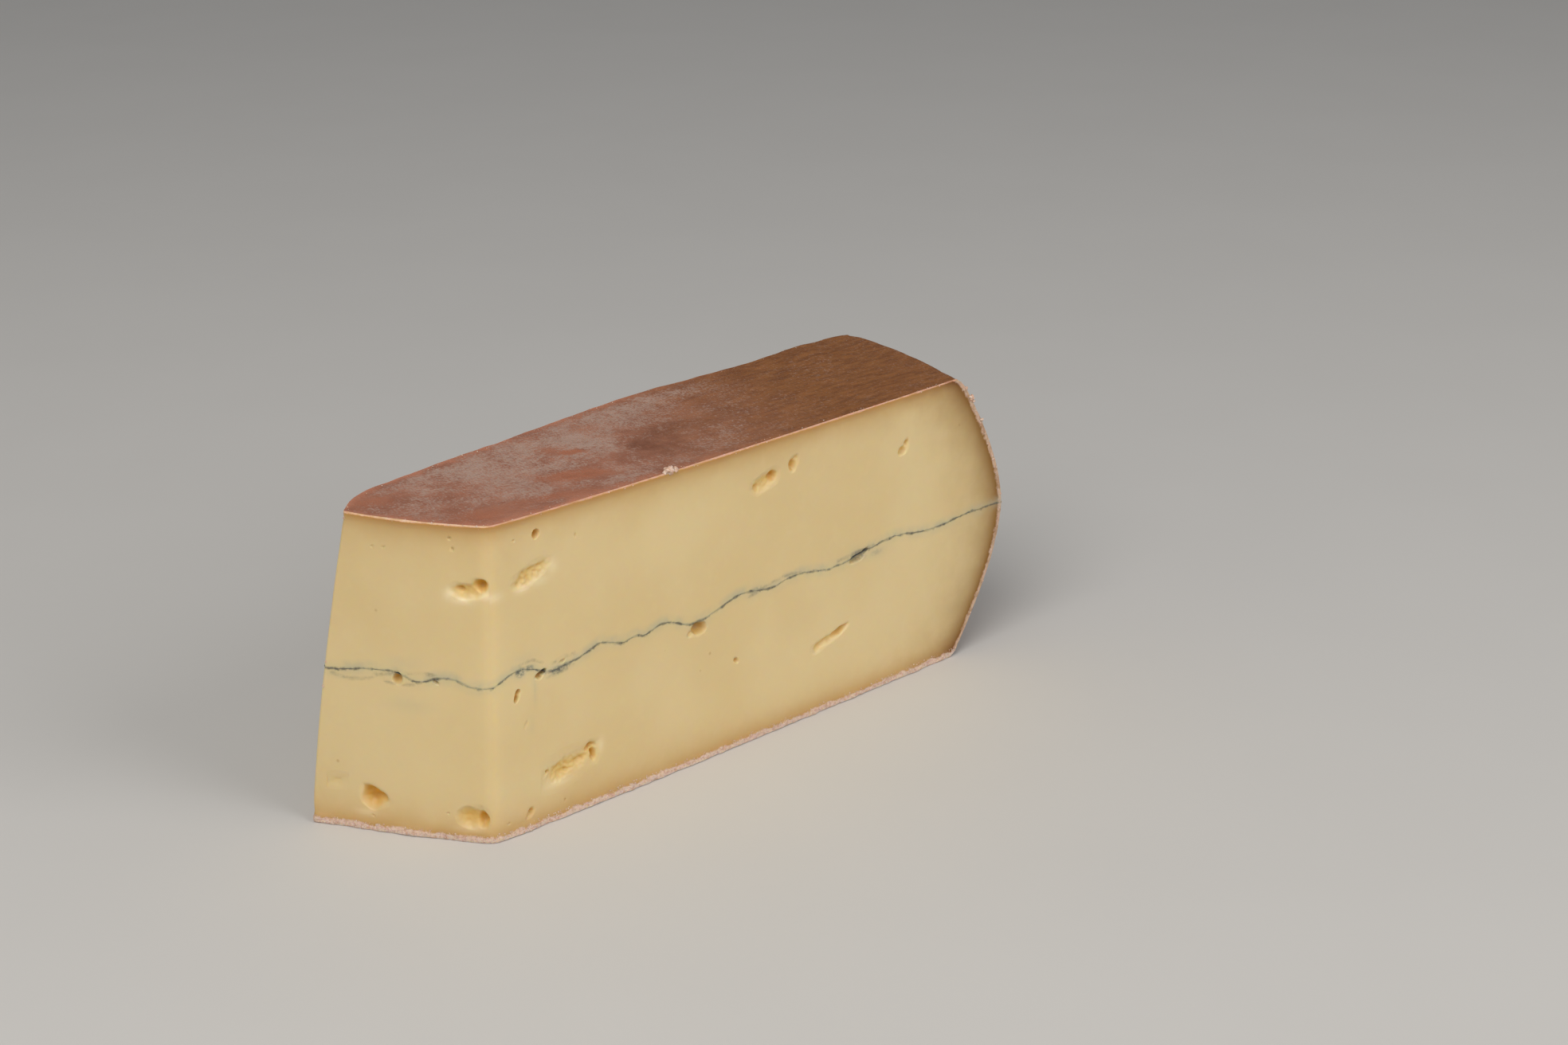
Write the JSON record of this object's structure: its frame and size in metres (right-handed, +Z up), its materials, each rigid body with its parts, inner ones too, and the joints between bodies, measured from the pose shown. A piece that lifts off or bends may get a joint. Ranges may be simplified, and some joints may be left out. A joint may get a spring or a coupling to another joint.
{
  "type": "morbier cheese wedge",
  "caption": "Wedge cut from a washed-rind cheese wheel, with rind on its top, base and heel, smooth cut faces with small eyes, and a thin dark ash layer running through the middle.",
  "frame": {"origin": "middle of the bounding box of the wedge's base", "axes": "+X along the long front cut towards the heel, where the wheel's outer rind is; +Y from the front cut towards the back cut; +Z up"},
  "size_m": [0.1828, 0.0508, 0.0711],
  "materials": {
    "paste": "smooth, slightly waxy",
    "ash": "matt"
  },
  "bodies": {
    "root": {"lower_half": "paste", "ash_layer": "ash", "upper_half": "paste"}
  },
  "joints": []
}
